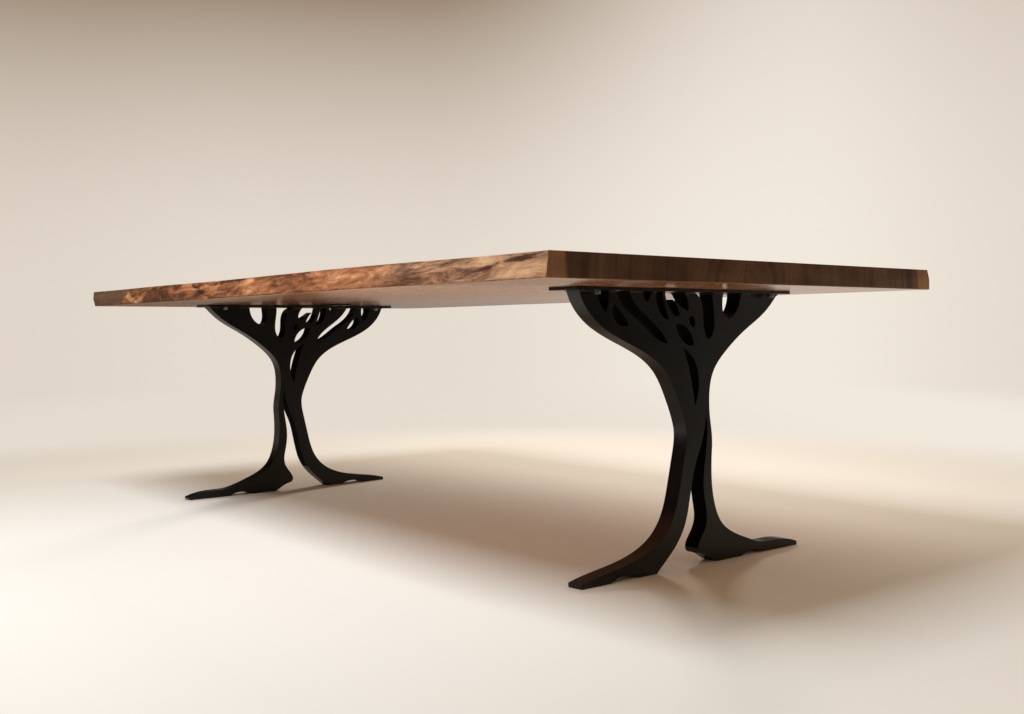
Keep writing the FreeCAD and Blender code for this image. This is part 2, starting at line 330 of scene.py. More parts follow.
def grain(finish, slab):
    """Growth rings about the log's heart, which lies a little below the slab: how strong the bands, the
    streaks, the rings and the pores are at a point."""
    slow_y = finish.cloud((0.55, 2.2, 2.2), 2.0)
    slow_z = finish.cloud((0.55, 2.2, 2.2), 2.0, shift=(7.1, 3.3, 5.2))
    wobble = finish.cloud((2.5, 13.0, 13.0))
    x, y, z = finish.axes()
    # between the ends the heart wanders up and down, which gives the top its arched figure
    wander = finish.cloud((1.3, 0.0, 0.0), 2.0, shift=(2.3, 1.1, 4.2)) - 0.5
    wander = wander * (1 - finish.step(abs(x), 0.80, 1.25))
    across = y + slab.pith + (slow_y - 0.5) * 0.16
    above = z - (SLAB_LOW.z - slab.pith_drop) + (slow_z - 0.5) * 0.05 + wander * 0.45
    radius = (across * across + above * above) ** 0.5 + (wobble - 0.5) * 0.014
    bands = finish.noise(finish.vector(x * 0.35, radius * 17.0, 0.0), 4.0, 0.6)
    streaks = finish.noise(finish.vector(x * 1.4, radius * 120.0, z * 3.0), 4.0, 0.6)
    rings = finish.step(finish.math("FRACT", radius / slab.ring), 0.55, 0.98)
    pores = finish.step(finish.cloud((22.0, 650.0, 650.0), 2.0), 0.60, 0.74)
    return bands, streaks, rings, pores


def heartwood(finish, slab):
    """Colour of sawn walnut, with its pale sapwood along both live edges, and the figure in it."""
    bands, streaks, rings, pores = grain(finish, slab)
    x, y, _ = finish.axes()
    shade = finish.blend(slab.dark, slab.heart, finish.step(bands, 0.28, 0.52))
    shade = finish.blend(shade, slab.light, finish.step(bands, 0.54, 0.80) * 0.75)
    shade = finish.blend(shade, slab.dark, finish.step(streaks, 0.52, 0.72) * 0.55)
    front = y - (x * FRONT_LINE[0] + FRONT_LINE[1])
    back = x * BACK_LINE[0] + BACK_LINE[1] - y
    ragged = (finish.cloud((2.0, 9.0, 4.0)) - 0.5) * 0.05
    inset = finish.math("MINIMUM", front, back) + ragged
    sapwood = 1 - finish.step(inset, slab.sapwood - 0.008, slab.sapwood + 0.008)
    shade = finish.blend(shade, slab.sap, sapwood * 0.85)
    shade = finish.darken(shade, 1 - rings * 0.16)
    return finish.darken(shade, 1 - pores * 0.35), sapwood, streaks, rings, pores


def face_finish(slab):
    """Long grain of the top, oiled to a soft sheen, and of the underside, left raw and streaked."""
    finish = Finish("walnut_face")
    shade, _, streaks, rings, pores = heartwood(finish, slab)
    x, y, z = finish.axes()
    oiled = finish.step(z, SLAB_LOW.z + 0.01, SLAB_HIGH.z - 0.01)
    stripes = finish.cloud((0.40, 15.0, 1.0), 4.0, 0.62)
    # painted shade near the plates and trees: the raw underside is darker at the far end, paler towards the
    # near end, and darker again in its front corner
    pale = (0.30 + finish.step(x, -0.90, 0.70) * 0.85) * (1 - finish.step(x - y * 0.5, 1.10, 1.35) * 0.45)
    streaked = finish.darken(slab.raw, (0.10 + stripes * 1.5 + streaks * 0.3 - pores * 0.2) * pale)
    return finish.surface(
        Base_Color=finish.blend(streaked, shade, 0.20 + oiled * 0.80),
        Roughness=0.12 + pores * 0.10 + stripes * 0.16 + oiled * 0.20,
        Specular_IOR_Level=0.28, Coat_Weight=oiled * 0.30, Coat_Roughness=0.32,
        Normal=finish.bump(streaks * 0.4 + rings * 0.2 - pores * 0.8, 0.00010),
    )


def end_finish(slab):
    """Sawn and sanded end grain, darker than the long grain, with a fine check at the heart."""
    finish = Finish("walnut_end_grain")
    shade, sapwood, _, rings, pores = heartwood(finish, slab)
    _, y, z = finish.axes()
    blotch = finish.cloud((1.0, 7.0, 14.0), 4.0)
    rays = finish.cloud((1.0, 260.0, 12.0), 2.0, turn=(0.2, 0.0, 0.0))
    lift = 1.20 + finish.step(y, -0.50, -0.20) * 0.50 + sapwood * 0.72
    shade = finish.darken(shade, (0.42 + finish.step(blotch, 0.30, 0.75) * 0.32 + (rays - 0.5) * 0.25) * lift)
    ragged = (finish.cloud((1, 40, 60)) - 0.5) * 0.006
    check = abs(y + slab.check - (z - SLAB_LOW.z) * 0.2) + ragged
    shade = finish.darken(shade, 0.45 + finish.step(check, 0.0006, 0.0022) * 0.55)
    return finish.surface(
        Base_Color=shade, Roughness=0.50 + pores * 0.15, Specular_IOR_Level=0.22,
        Normal=finish.bump(rings * 0.5 + rays - pores, 0.00015),
    )


# Patches of the live edge, as (place along, height on the edge, half length, half height, slope, tone): a
# tone above 0 is paler than the wood round it, and one below 0 is darker
EDGE_PATCHES = (
    (-0.893, 0.021, 0.080, 0.009, -0.22, 0.42),
    (-0.806, 0.017, 0.050, 0.009, 0.22, 0.38),
    (-0.680, 0.026, 0.230, 0.034, 0.00, -0.24),
    (-0.455, 0.045, 0.050, 0.010, 0.05, 0.32),
    (-0.360, 0.030, 0.120, 0.006, -0.22, -0.34),
    (-0.170, 0.047, 0.150, 0.006, 0.02, -0.32),
    (0.000, 0.043, 0.055, 0.010, 0.06, 0.28),
    (0.030, 0.016, 0.045, 0.006, 0.18, 0.22),
    (0.270, 0.048, 0.120, 0.007, 0.00, -0.22),
    (0.600, 0.030, 0.190, 0.034, 0.00, 0.14),
    (0.930, 0.028, 0.150, 0.032, 0.00, -0.08),
    (1.085, 0.047, 0.050, 0.009, 0.00, 0.30),
    (1.110, 0.029, 0.045, 0.006, 0.16, -0.42),
    (1.215, 0.044, 0.070, 0.006, 0.10, -0.46),
    (1.225, 0.018, 0.100, 0.017, 0.12, 0.28),
)


def edge_finish(slab):
    """The live edge, where no saw ran: long swirls of dark, red and amber wood, paler at the near end."""
    finish = Finish("walnut_live_edge")
    x, y, z = finish.axes()
    up = z - SLAB_LOW.z
    sway = finish.cloud((6.0, 5.0, 17.0), 2.0) - 0.5
    curl = finish.cloud((16.0, 5.0, 45.0), 2.0, shift=(3.7, 0.0, 1.9)) - 0.5
    along = x + sway * 0.06 + curl * 0.05
    height = up + sway * 0.030 + curl * 0.010
    leaning = along - up * 0.8
    swirl = finish.noise(finish.vector(leaning * 9.0, y * 5.0, height * 46.0), 6.0, 0.64, 0.9)
    figure = finish.noise(finish.vector(leaning * 36.0, y * 9.0, height * 150.0), 5.0, 0.64, 1.0)
    fibres = finish.noise(finish.vector(leaning * 40.0, y * 60.0, height * 620.0))
    tone = 0.47 + (swirl - 0.5) * 1.30 + (figure - 0.5) * 0.75 + (fibres - 0.5) * 0.18
    for place, patch_up, half_length, half_height, slope, patch_tone in EDGE_PATCHES:
        aside = along - place
        off = height - patch_up - aside * slope
        reach = (aside / half_length) ** 2.0 + (off / half_height) ** 2.0 + (figure + swirl - 1) * 1.8
        tone = tone + (1 - finish.step(reach, -0.20, 1.60)) * patch_tone
    rim = abs(up / SLAB_THICKNESS - 0.5)
    tone = tone - finish.step(rim, 0.36, 0.52) * 0.12
    red = finish.ramp(tone, (
        (0.08, slab.burnt), (0.30, slab.plum), (0.47, slab.russet), (0.66, slab.amber), (0.92, slab.cream),
    ))
    pale = finish.ramp(tone, ((0.06, slab.burnt), (0.26, slab.umber), (0.48, slab.tan), (0.80, slab.straw)))
    shade = finish.blend(red, pale, finish.step(x + sway * 0.4, 0.50, 1.05))
    plain = 1 - finish.step(x - up * 2.5 + sway * 0.08, -1.10, -1.00)
    return finish.surface(
        Base_Color=finish.blend(shade, slab.dull, plain * 0.80),
        Roughness=0.42 + figure * 0.18, Specular_IOR_Level=0.20,
        Normal=finish.bump(fibres * 0.6 + figure * 1.6, 0.0008),
    )


def steel_finish(name, steel, gap_shade_and_dullness=0.0):
    """Satin black paint over flame-cut steel: fine peel, soft mottling and thin drag lines on the cut sides.
    The coat for walls of narrow gaps is rougher and hardly shines, and its darker colour is painted shade."""
    finish = Finish(name)
    mottle = finish.cloud((9.0, 9.0, 9.0), 4.0)
    peel = finish.cloud((420.0, 900.0, 900.0), 2.0)
    drag = finish.cloud((6.0, 480.0, 480.0))
    rub = finish.step(finish.cloud((30.0, 30.0, 30.0), 5.0, 0.7), 0.58, 0.80)
    shade = finish.blend(steel.paint, steel.bare, rub * 0.35 + (mottle - 0.4) * 0.25)
    return finish.surface(
        Base_Color=finish.darken(shade, 1 - gap_shade_and_dullness * 0.6),
        Roughness=0.22 + mottle * 0.12 + peel * 0.05 + gap_shade_and_dullness * 0.4,
        Specular_IOR_Level=0.45 * (1 - gap_shade_and_dullness * 0.85),
        Normal=finish.bump(peel * 0.4 + drag * 0.8, 0.00010),
    )


def metal_finish(name, shade, tint, roughness, scale):
    """Bare or plated metal with fine clouding and scratches."""
    finish = Finish(name)
    cloud = finish.cloud((scale, scale, scale), 4.0)
    scratch = finish.cloud((900.0, 900.0, 60.0), 2.0)
    clouded = finish.blend(shade, tint, finish.step(cloud, 0.45, 0.75) * 0.5)
    return finish.surface(
        Base_Color=finish.darken(clouded, 0.8 + scratch * 0.3), Metallic=1.0,
        Roughness=roughness + cloud * 0.2, Normal=finish.bump(scratch + cloud * 0.5, 0.00004),
    )


def activate(piece):
    """Leaves one piece, or none, selected and active, in object mode."""
    if bpy.context.object and bpy.context.object.mode != "OBJECT":
        bpy.ops.object.mode_set(mode="OBJECT")
    bpy.ops.object.select_all(action="DESELECT")
    if piece:
        piece.select_set(True)
        bpy.context.view_layer.objects.active = piece


def named(name):
    """The object that was added last, under its name."""
    piece = bpy.context.object
    piece.name = piece.data.name = name
    return piece


def settle(piece):
    """Takes a piece's place, turn and scale into its mesh."""
    activate(piece)
    bpy.ops.object.transform_apply(location=True, rotation=True, scale=True)
    return piece


def smooth(piece, degrees):
    """Shades a piece smooth, apart from edges sharper than an angle."""
    activate(piece)
    bpy.ops.object.shade_smooth_by_angle(angle=math.radians(degrees))


def edit_all(piece):
    """Goes to edit mode with the whole piece selected."""
    activate(piece)
    bpy.ops.object.mode_set(mode="EDIT")
    bpy.ops.mesh.select_all(action="SELECT")


def pick_edges(piece, test):
    """Goes to edit mode with only those edges selected that pass the test."""
    activate(piece)
    bpy.ops.object.mode_set(mode="EDIT")
    bpy.ops.mesh.select_mode(type="EDGE")
    bpy.ops.mesh.select_all(action="DESELECT")
    bpy.ops.object.mode_set(mode="OBJECT")
    for edge in piece.data.edges:
        edge.select = test(edge)
    bpy.ops.object.mode_set(mode="EDIT")


def span(mesh, edge):
    """The vector along an edge and its middle."""
    first, last = [mesh.vertices[i].co for i in edge.vertices]
    return last - first, (first + last) / 2


def runs_along(mesh, axis):
    """A test for edges parallel to an axis."""
    others = [i for i in range(3) if i != axis]
    return lambda edge: all(abs(span(mesh, edge)[0][i]) < NIL for i in others)


def modify(piece, kind, **settings):
    """Adds a modifier and applies it."""
    activate(piece)
    modifier = piece.modifiers.new(kind.lower(), kind)
    for key, value in settings.items():
        setattr(modifier, key, value)
    bpy.ops.object.modifier_apply(modifier=modifier.name)


def push(piece, way, distance, weights):
    """Moves vertices along an axis by a distance times their weights, which are given by vertex index."""
    group = piece.vertex_groups.new(name="push")
    for index, weight in weights.items():
        group.add([index], weight, "REPLACE")
    modify(piece, "DISPLACE", direction=way, strength=distance, mid_level=0.0, vertex_group="push")
    piece.vertex_groups.clear()


def ease(piece, width, degrees=40.0):
    """Rounds the sharp edges and keeps the flats shaded flat."""
    modify(piece, "BEVEL", width=width, segments=2, limit_method="ANGLE", angle_limit=math.radians(degrees),
           use_clamp_overlap=False, miter_outer="MITER_ARC")
    smooth(piece, 34.0)
    modify(piece, "WEIGHTED_NORMAL", keep_sharp=True, weight=60)


def block(name, low, high):
    """A block between two corners."""
    activate(None)
    bpy.ops.mesh.primitive_cube_add(size=1.0, location=(low + high) / 2)
    piece = named(name)
    piece.scale = high - low
    return settle(piece)


def grown(name, sides, rings):
    """A closed piece about the Z axis, grown by extruding a disc through rings of (radius, height)."""
    activate(None)
    (radius, height), *rest = rings
    bpy.ops.mesh.primitive_circle_add(vertices=sides, radius=radius, fill_type="NGON",
                                      location=(0, 0, height))
    piece = settle(named(name))
    bpy.ops.object.mode_set(mode="EDIT")
    bpy.ops.mesh.select_mode(type="FACE")
    bpy.ops.mesh.select_all(action="SELECT")
    for next_radius, next_height in rest:
        bpy.ops.mesh.extrude_region_move(TRANSFORM_OT_translate={"value": (0, 0, next_height - height)})
        share = next_radius / radius
        bpy.ops.transform.resize(value=(share, share, 1), center_override=(0, 0, next_height))
        radius, height = next_radius, next_height
    bpy.ops.mesh.select_all(action="SELECT")
    bpy.ops.mesh.normals_make_consistent(inside=False)
    activate(piece)
    return piece


def rod(name, sides, radius, bottom, top):
    """A straight round rod about the Z axis."""
    return grown(name, sides, [(radius, bottom), (radius, top)])


def moved(piece, place):
    """Puts a piece at a place."""
    piece.location = place
    return settle(piece)


def copied(piece, name):
    activate(piece)
    bpy.ops.object.duplicate(linked=False)
    return named(name)


def turned(piece, angle, axis):
    """Turns a piece about an axis through the origin."""
    activate(piece)
    bpy.ops.transform.rotate(value=angle, orient_axis=axis, center_override=(0, 0, 0))
    return settle(piece)


def other_end(piece, name):
    """A copy of a piece at the other end of the table."""
    return turned(copied(piece, name), math.pi, "Z")


def joined(pieces, name):
    activate(pieces[0])
    for piece in pieces:
        piece.select_set(True)
    if len(pieces) > 1:
        bpy.ops.object.join()
    return named(name)


def cut(piece, cutters):
    """Takes the cutters out of a piece, and deletes them."""
    cutter = joined(cutters, "cutter")
    modify(piece, "BOOLEAN", operation="DIFFERENCE", solver="EXACT", object=cutter)
    bpy.data.objects.remove(cutter)


def node_copy(node, name):
    """A copy of a CAD node with its loose triangles merged and its flats whole."""
    piece = bpy.data.objects.new(name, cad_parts[node].data.copy())
    piece.data.name = name
    piece.data.materials.clear()
    bpy.context.collection.objects.link(piece)
    activate(piece)
    bpy.ops.mesh.customdata_custom_splitnormals_clear()
    edit_all(piece)
    bpy.ops.mesh.remove_doubles(threshold=NIL)
    bpy.ops.mesh.dissolve_limited(angle_limit=math.radians(0.3))
    activate(piece)
    return piece


def solids(node):
    """The lowest and highest corners of each separate solid in a CAD node."""
    edit_all(node_copy(node, "solids_of_" + node))
    bpy.ops.mesh.separate(type="LOOSE")
    bpy.ops.object.mode_set(mode="OBJECT")
    boxes = []
    for part in list(bpy.context.selected_objects):
        points = [v.co for v in part.data.vertices]
        low = Vector([min(p[i] for p in points) for i in range(3)])
        high = Vector([max(p[i] for p in points) for i in range(3)])
        boxes.append((low, high))
        bpy.data.objects.remove(part)
    return sorted(boxes, key=lambda box: tuple(round(v, 5) for v in box[0]))


def middle(box, height=0.0):
    """The middle of a box, at a height."""
    low, high = box
    return (low.x + high.x) / 2, (low.y + high.y) / 2, height


def holes(boxes, sides, radius, bottom, top):
    """Round cutters from one height to another, through the middles of boxes."""
    return [moved(rod("hole", sides, radius, bottom, top), middle(box)) for box in boxes]


def copies(model, boxes, name):
    """Copies of a model at the bottoms of boxes, as one piece. The model itself is deleted."""
    placed = [moved(copied(model, "copy"), middle(box, box[0].z)) for box in boxes]
    bpy.data.objects.remove(model)
    return joined(placed, name)


def hand_over(piece, slot, materials, *nodes):
    """Gives a finished piece its materials, hangs it under the root body, and hides the CAD nodes that it
    stands for.
    """
    if not len(piece.data.polygons):
        raise RuntimeError(f"{piece.name} came out empty")
    for material in materials:
        piece.data.materials.append(material)
    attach(piece, "root")
    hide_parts(*nodes)


def hand_over_pair(right, left, slot, materials, node):
    """Hands over a piece and its copy at the other end for a CAD node's right and left."""
    for piece, side in zip((right, left), SIDES):
        hand_over(piece, slot, materials, f"{node}_{side}")


# Stations along the live edges, divided once and then again, and rows up them
STATIONS = (24, 36)
ROWS = 14

# Marks on the live edges, as (name, setting of its depth, size, octaves, stretch), and how they lean
EDGE_MARKS = (
    ("lumps", "lump_depth", 0.075, 2, (2.4, 1.0, 0.9)),
    ("knuckles", "knuckle_depth", 0.030, 3, (1.7, 1.0, 0.8)),
    ("tool_marks", "tool_depth", 0.009, 2, (2.2, 1.0, 0.8)),
)
MARK_LEAN = math.radians(-24)


class TABLE_OT_walnut_slab(bpy.types.Operator):
    """Models the live-edge slab"""
    bl_idname = "slab_table.walnut_slab"
    bl_label = "Walnut Slab"

    def execute(self, context):
        settings = context.scene.slab_table.slab
        slab = self.blank()
        self.carve(slab, settings)
        self.dress_corner(slab, settings)
        self.round_over(slab, settings)
        self.drill(slab, context.scene.slab_table.fasteners)
        smooth(slab, 38.0)
        finishes = [face_finish(settings), end_finish(settings), edge_finish(settings)]
        hand_over(slab, "walnut", finishes, "walnut_slab")
        # sawn ends and live edges are told from the faces by which way they look
        for face in slab.data.polygons:
            sizes = [abs(v) for v in face.normal]
            face.material_index = 1 if sizes[0] > 0.8 else 2 if sizes[1] > 0.55 else 0
        return {"FINISHED"}

    @staticmethod
    def blank():
        """A blank with even stations along the live edges and rows up them, pressed onto the CAD edges. It
        starts a thin skin inside the CAD's faces and ends, to meet the edges, and is then stretched."""
        skin = 0.1 * MM
        margin = Vector((-skin, 20 * MM, -skin))
        slab = block("live_edge_slab", SLAB_LOW - margin, SLAB_HIGH + margin)
        for axis, count in ((0, STATIONS[0]), (0, STATIONS[1]), (2, ROWS)):
            pick_edges(slab, runs_along(slab.data, axis))
            bpy.ops.mesh.subdivide(number_cuts=count - 1)
        modify(slab, "SHRINKWRAP", target=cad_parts["walnut_slab"], wrap_method="PROJECT",
               use_project_y=True, use_negative_direction=True, use_positive_direction=True)
        activate(slab)
        full = SLAB_HIGH - SLAB_LOW
        bpy.ops.transform.resize(value=(full.x / (full.x - 2 * skin), 1, full.z / (full.z - 2 * skin)),
                                 center_override=(SLAB_LOW + SLAB_HIGH) / 2)
        return settle(slab)

    @staticmethod
    def edge_place(vertex):
        """How far up the edge a vertex is, from 0 to 1, and its distance from the nearer sawn end."""
        up = (vertex.co.z - SLAB_LOW.z) / SLAB_THICKNESS
        return up, min(vertex.co.x - SLAB_LOW.x, SLAB_HIGH.x - vertex.co.x)

    def carve(self, slab, settings):
        """Lumps, knuckles and tool marks on both live edges, leaning with the grain."""
        groups = {name: slab.vertex_groups.new(name=name) for name in ("front", "back")}
        for vertex in slab.data.vertices:
            up, from_end = self.edge_place(vertex)
            calm = min(1.0, 0.12 + from_end / settings.calm_end)
            weight = calm * (0.30 + 0.70 * math.sin(math.pi * up) ** 0.8)
            groups["front" if vertex.co.y < 0 else "back"].add([vertex.index], weight, "REPLACE")
        for name, depth, size, octaves, stretch in EDGE_MARKS:
            texture = bpy.data.textures.new(name, "CLOUDS")
            texture.noise_scale = size
            texture.noise_depth = octaves
            activate(None)
            bpy.ops.object.empty_add(location=(0, 0, SLAB_LOW.z), rotation=(0, MARK_LEAN, 0))
            lean = bpy.context.object
            lean.scale = stretch
            for group, way in (("front", 1), ("back", -1)):
                modify(slab, "DISPLACE", texture=texture, texture_coords="OBJECT", texture_coords_object=lean,
                       direction="Y", strength=way * getattr(settings, depth), mid_level=0.42,
                       vertex_group=group)
            bpy.data.objects.remove(lean)
        slab.vertex_groups.clear()

    def dress_corner(self, slab, settings):
        """Hollows the front edge towards the near end, where it is straighter."""
        weights = {}
        for vertex in slab.data.vertices:
            up, from_end = self.edge_place(vertex)
            if vertex.co.y < 0 < vertex.co.x and from_end < settings.calm_end:
                weights[vertex.index] = (1 - from_end / settings.calm_end) * math.sin(math.pi * up)
        push(slab, "Y", settings.corner_hollow, weights)

    @staticmethod
    def round_over(slab, settings):
        """Rounds the long arrises well, and the sawn ends a little."""
        mesh = slab.data
        weights = mesh.attributes.new("bevel_weight_edge", "FLOAT", "EDGE").data
        for edge in mesh.edges:
            way, place = span(mesh, edge)
            on_face = min(place.z - SLAB_LOW.z, SLAB_HIGH.z - place.z) < CLOSE and abs(way.z) < CLOSE
            on_end = min(place.x - SLAB_LOW.x, SLAB_HIGH.x - place.x) < CLOSE
            crosses = abs(way.y) > 0.5
            if on_face and not on_end and not crosses:
                weights[edge.index].value = 1.0
            elif on_end and (on_face or not crosses):
                weights[edge.index].value = settings.end_arris / settings.arris
        modify(slab, "BEVEL", width=settings.arris, segments=3, limit_method="WEIGHT",
               use_clamp_overlap=False)

    @staticmethod
    def drill(slab, settings):
        """The sockets of the inserts and the pilot holes of the screws."""
        start = SLAB_LOW.z - OVERRUN
        cutters = []
        for side in SIDES:
            inserts = solids("threaded_inserts_" + side)
            low, high = inserts[0]
            cutters += holes(inserts, 32, (high.x - low.x) / 2, start, high.z + SPARE)
            screws = solids("strap_screws_" + side)
            cutters += holes(screws, 20, settings.screw_shank / 2, start, screws[0][1].z + SPARE)
        cut(slab, cutters)


# A corner of a tree's outline: its place, its outward direction and how much the outline turns there
Corner = namedtuple("Corner", "place outward angle")

# Heights and angles between which the knees and the heel of a tree are found
KNEE_HEIGHTS = (TREE_HIGH.z * 0.25, TREE_HIGH.z * 0.75)
KNEE_ANGLES = (0.2, 0.8)
HEEL_HEIGHTS = (15 * MM, 50 * MM)
HEEL_ANGLES = (0.8, 2.2)
FINE = 4 * MM  # length of the outline's parts round a rounded corner

# Upper side of the right tree's long gap, as (y, z) from its top to its foot
LEANING_CUT = ((-0.210, 0.702), (-0.150, 0.647), (-0.088, 0.608))


class TABLE_OT_tree_legs(bpy.types.Operator):
    """Rounds and eases the cut edges of the two steel trees"""
    bl_idname = "slab_table.tree_legs"
    bl_label = "Tree Legs"

    def execute(self, context):
        settings = context.scene.slab_table.steel
        tree = node_copy("tree_leg_right", "cut_tree_right")
        self.soften_knees(tree, settings.knee)
        self.round_heel(tree, settings)
        ease(tree, settings.tree_ease, 50.0)
        # walls that look onto another wall across a narrow gap take the dull coat, whose darker colour is
        # painted shade
        narrow = [self.faces_wall(tree, face, settings.narrow_gap) for face in tree.data.polygons]
        other = other_end(tree, "cut_tree_left")
        self.lean_cut(tree, settings.lean)
        paint = steel_finish("black_steel_paint", settings)
        dull = steel_finish("black_steel_gaps", settings, 1.0)
        hand_over_pair(tree, other, "black_steel", [paint, dull], "tree_leg")
        for piece in (tree, other):
            for face, is_narrow in zip(piece.data.polygons, narrow):
                face.material_index = int(is_narrow)
        return {"FINISHED"}

    @staticmethod
    def find_corners(mesh, heights, angles):
        """The outline's corners between two heights and two angles."""
        sides = {}
        for face in mesh.polygons:
            for key in face.edge_keys:
                sides.setdefault(key, []).append(face.normal.copy())
        across = runs_along(mesh, 0)
        corners = []
        for edge in mesh.edges:
            normals, place = sides[edge.key], span(mesh, edge)[1]
            if across(edge) and heights[0] < place.z < heights[1]:
                angle = normals[0].angle(normals[1])
                if angles[0] < angle < angles[1]:
                    corners.append(Corner(place, normals[0] + normals[1], angle))
        if not corners:
            raise RuntimeError("a corner of the tree's outline is missing")
        return corners

    @staticmethod
    def outline(mesh):
        """The edges between the flats of the tree and its cut sides."""
        flats, cuts = set(), set()
        for face in mesh.polygons:
            (flats if abs(face.normal.x) > 0.5 else cuts).update(face.edge_keys)
        return flats & cuts

    def divide(self, tree, near):
        """Halves the outline's edges next to a corner until they are fine."""
        mesh = tree.data
        for _ in range(6):
            outline = self.outline(mesh)
            pick_edges(tree, lambda edge: edge.key in outline and span(mesh, edge)[0].length > FINE
                       and any(near(mesh.vertices[i]) for i in edge.vertices))
            bpy.ops.mesh.subdivide(number_cuts=1)
            activate(tree)

    @staticmethod
    def nearness(corner, reach):
        """A function for how near a vertex is to a corner: 1 at it, and 0 out of reach or on another side."""
        def near(vertex):
            share = 1 - (vertex.co - corner.place).yz.length / reach
            return share * share if share > 0 and vertex.normal.dot(corner.outward) > 0 else 0.0

        return near

    @staticmethod
    def draw_in(tree, near, way, distance):
        """Moves the vertices along an axis by a distance times their nearness."""
        push(tree, way, distance, {vertex.index: near(vertex) for vertex in tree.data.vertices})

    def soften_knees(self, tree, reach):
        """Rounds the knees, the blunt corners between the feet and the crown, along parabolas."""
        for corner in self.find_corners(tree.data, KNEE_HEIGHTS, KNEE_ANGLES):
            near = self.nearness(corner, reach)
            self.divide(tree, near)
            self.draw_in(tree, near, "Y", -reach / 4 * corner.angle)

    def round_heel(self, tree, settings):
        """Swells the heel of the longer foot a little, and rounds its corner."""
        corner = self.find_corners(tree.data, HEEL_HEIGHTS, HEEL_ANGLES)[0]
        swell = self.nearness(corner, settings.heel_reach)
        self.divide(tree, swell)
        self.draw_in(tree, swell, "Y", -settings.heel_swell)
        swollen = corner._replace(place=corner.place - Vector((0, settings.heel_swell, 0)))
        tip = self.nearness(swollen, settings.heel_reach * 0.45)
        self.draw_in(tree, tip, "Y", settings.heel_swell * 0.6)
        self.draw_in(tree, tip, "Z", settings.heel_swell * 0.5)

    @staticmethod
    def lean_cut(tree, depth):
        """Leans the upper side of the long gap, so that the gap is narrower at the back of the tree."""
        (start, _), (bend, bend_height), (stop, _) = LEANING_CUT
        back, slack, fade = TREE_LOW.x + 4 * MM, 10 * MM, 20 * MM
        weights = {}
        for vertex in tree.data.vertices:
            x, y, z = vertex.co
            if x > back or vertex.normal.y > 0 or not start < y < stop:
                continue
            end, end_height = LEANING_CUT[0] if y < bend else LEANING_CUT[2]
            height = bend_height + (end_height - bend_height) * (y - bend) / (end - bend)
            if abs(z - height) < slack:
                weights[vertex.index] = min(1.0, (y - start) / fade, (stop - y) / fade)
        push(tree, "Z", -depth, weights)

    @staticmethod
    def faces_wall(tree, face, reach):
        """Whether a cut side looks onto another cut side across a narrow gap."""
        if abs(face.normal.x) > 0.5:
            return False
        start = face.center + face.normal * 0.1 * MM
        return tree.ray_cast(start, face.normal, distance=reach)[0]


class TABLE_OT_mounting_plates(bpy.types.Operator):
    """Models the plates between the trees and the slab"""
    bl_idname = "slab_table.mounting_plates"
    bl_label = "Mounting Plates"

    def execute(self, context):
        settings = context.scene.slab_table.steel
        fasteners = context.scene.slab_table.fasteners
        plate = block("plate_right", PLATE_LOW, PLATE_HIGH)
        pick_edges(plate, runs_along(plate.data, 2))
        bpy.ops.mesh.bevel(offset=settings.plate_corner, segments=6, affect="EDGES")
        cut(plate, holes(solids("plate_bolts_right"), 32, fasteners.bolt_shank / 2 + fasteners.bolt_gap,
                         PLATE_LOW.z - OVERRUN, PLATE_HIGH.z + OVERRUN))
        ease(plate, settings.plate_ease)
        paint = bpy.data.materials["black_steel_paint"]
        hand_over_pair(plate, other_end(plate, "plate_left"), "black_steel", [paint], "mounting_plate")
        return {"FINISHED"}


class TABLE_OT_brace_straps(bpy.types.Operator):
    """Models the flat straps under the slab"""
    bl_idname = "slab_table.brace_straps"
    bl_label = "Brace Straps"

    def execute(self, context):
        settings = context.scene.slab_table.steel
        fasteners = context.scene.slab_table.fasteners
        strap = block("strap_right", STRAP_LOW, STRAP_HIGH)
        upright = runs_along(strap.data, 2)
        free_end = STRAP_LOW.x + CLOSE
        pick_edges(strap, lambda edge: upright(edge) and span(strap.data, edge)[1].x < free_end)
        bpy.ops.mesh.bevel(offset=settings.strap_corner, segments=8, affect="EDGES")
        cut(strap, holes(solids("strap_screws_right"), 24, fasteners.screw_shank / 2 + fasteners.screw_gap,
                         STRAP_LOW.z - OVERRUN, STRAP_HIGH.z + OVERRUN))
        ease(strap, settings.plate_ease)
        paint = bpy.data.materials["black_steel_paint"]
        hand_over_pair(strap, other_end(strap, "strap_left"), "black_steel", [paint], "brace_strap")
        return {"FINISHED"}


class TABLE_OT_weld_beads(bpy.types.Operator):
    """Models the rippled welds between the branch tips and the plates"""
    bl_idname = "slab_table.weld_beads"
    bl_label = "Weld Beads"

    def execute(self, context):
        settings = context.scene.slab_table.fasteners
        beads = []
        for box in solids("weld_beads_right"):
            low, high = box
            front = low.x > (TREE_LOW.x + TREE_HIGH.x) / 2
            corner = TREE_HIGH.x if front else TREE_LOW.x
            bead = self.bead(high.y - low.y, settings)
            beads.append(moved(bead, (corner, middle(box)[1], PLATE_LOW.z)))
        welds = joined(beads, "rippled_welds_right")
        smooth(welds, 60.0)
        metal = metal_finish("weld_metal", settings.weld, settings.weld_tint, 0.34, 140.0)
        hand_over_pair(welds, other_end(welds, "rippled_welds_left"), "weld_steel", [metal], "weld_beads")
        return {"FINISHED"}

    @staticmethod
    def bead(run, settings):
        """One bead along Y, with a ripple for each drop of weld metal and both ends tapered off."""
        radius = settings.bead_radius
        ripples = max(3, round(run / settings.bead_ripple))
        pitch = run / ripples
        rings = [(radius * 0.35, -run / 2)]
        for i in range(ripples):
            start = -run / 2 + i * pitch
            swell = 0.86 if i in (0, ripples - 1) else 1.0
            rings.append((radius * swell * 0.90, start + pitch * 0.25))
            rings.append((radius * swell, start + pitch * 0.75))
        rings.append((radius * 0.35, run / 2))
        return turned(grown("bead", 12, rings), math.pi / 2, "X")


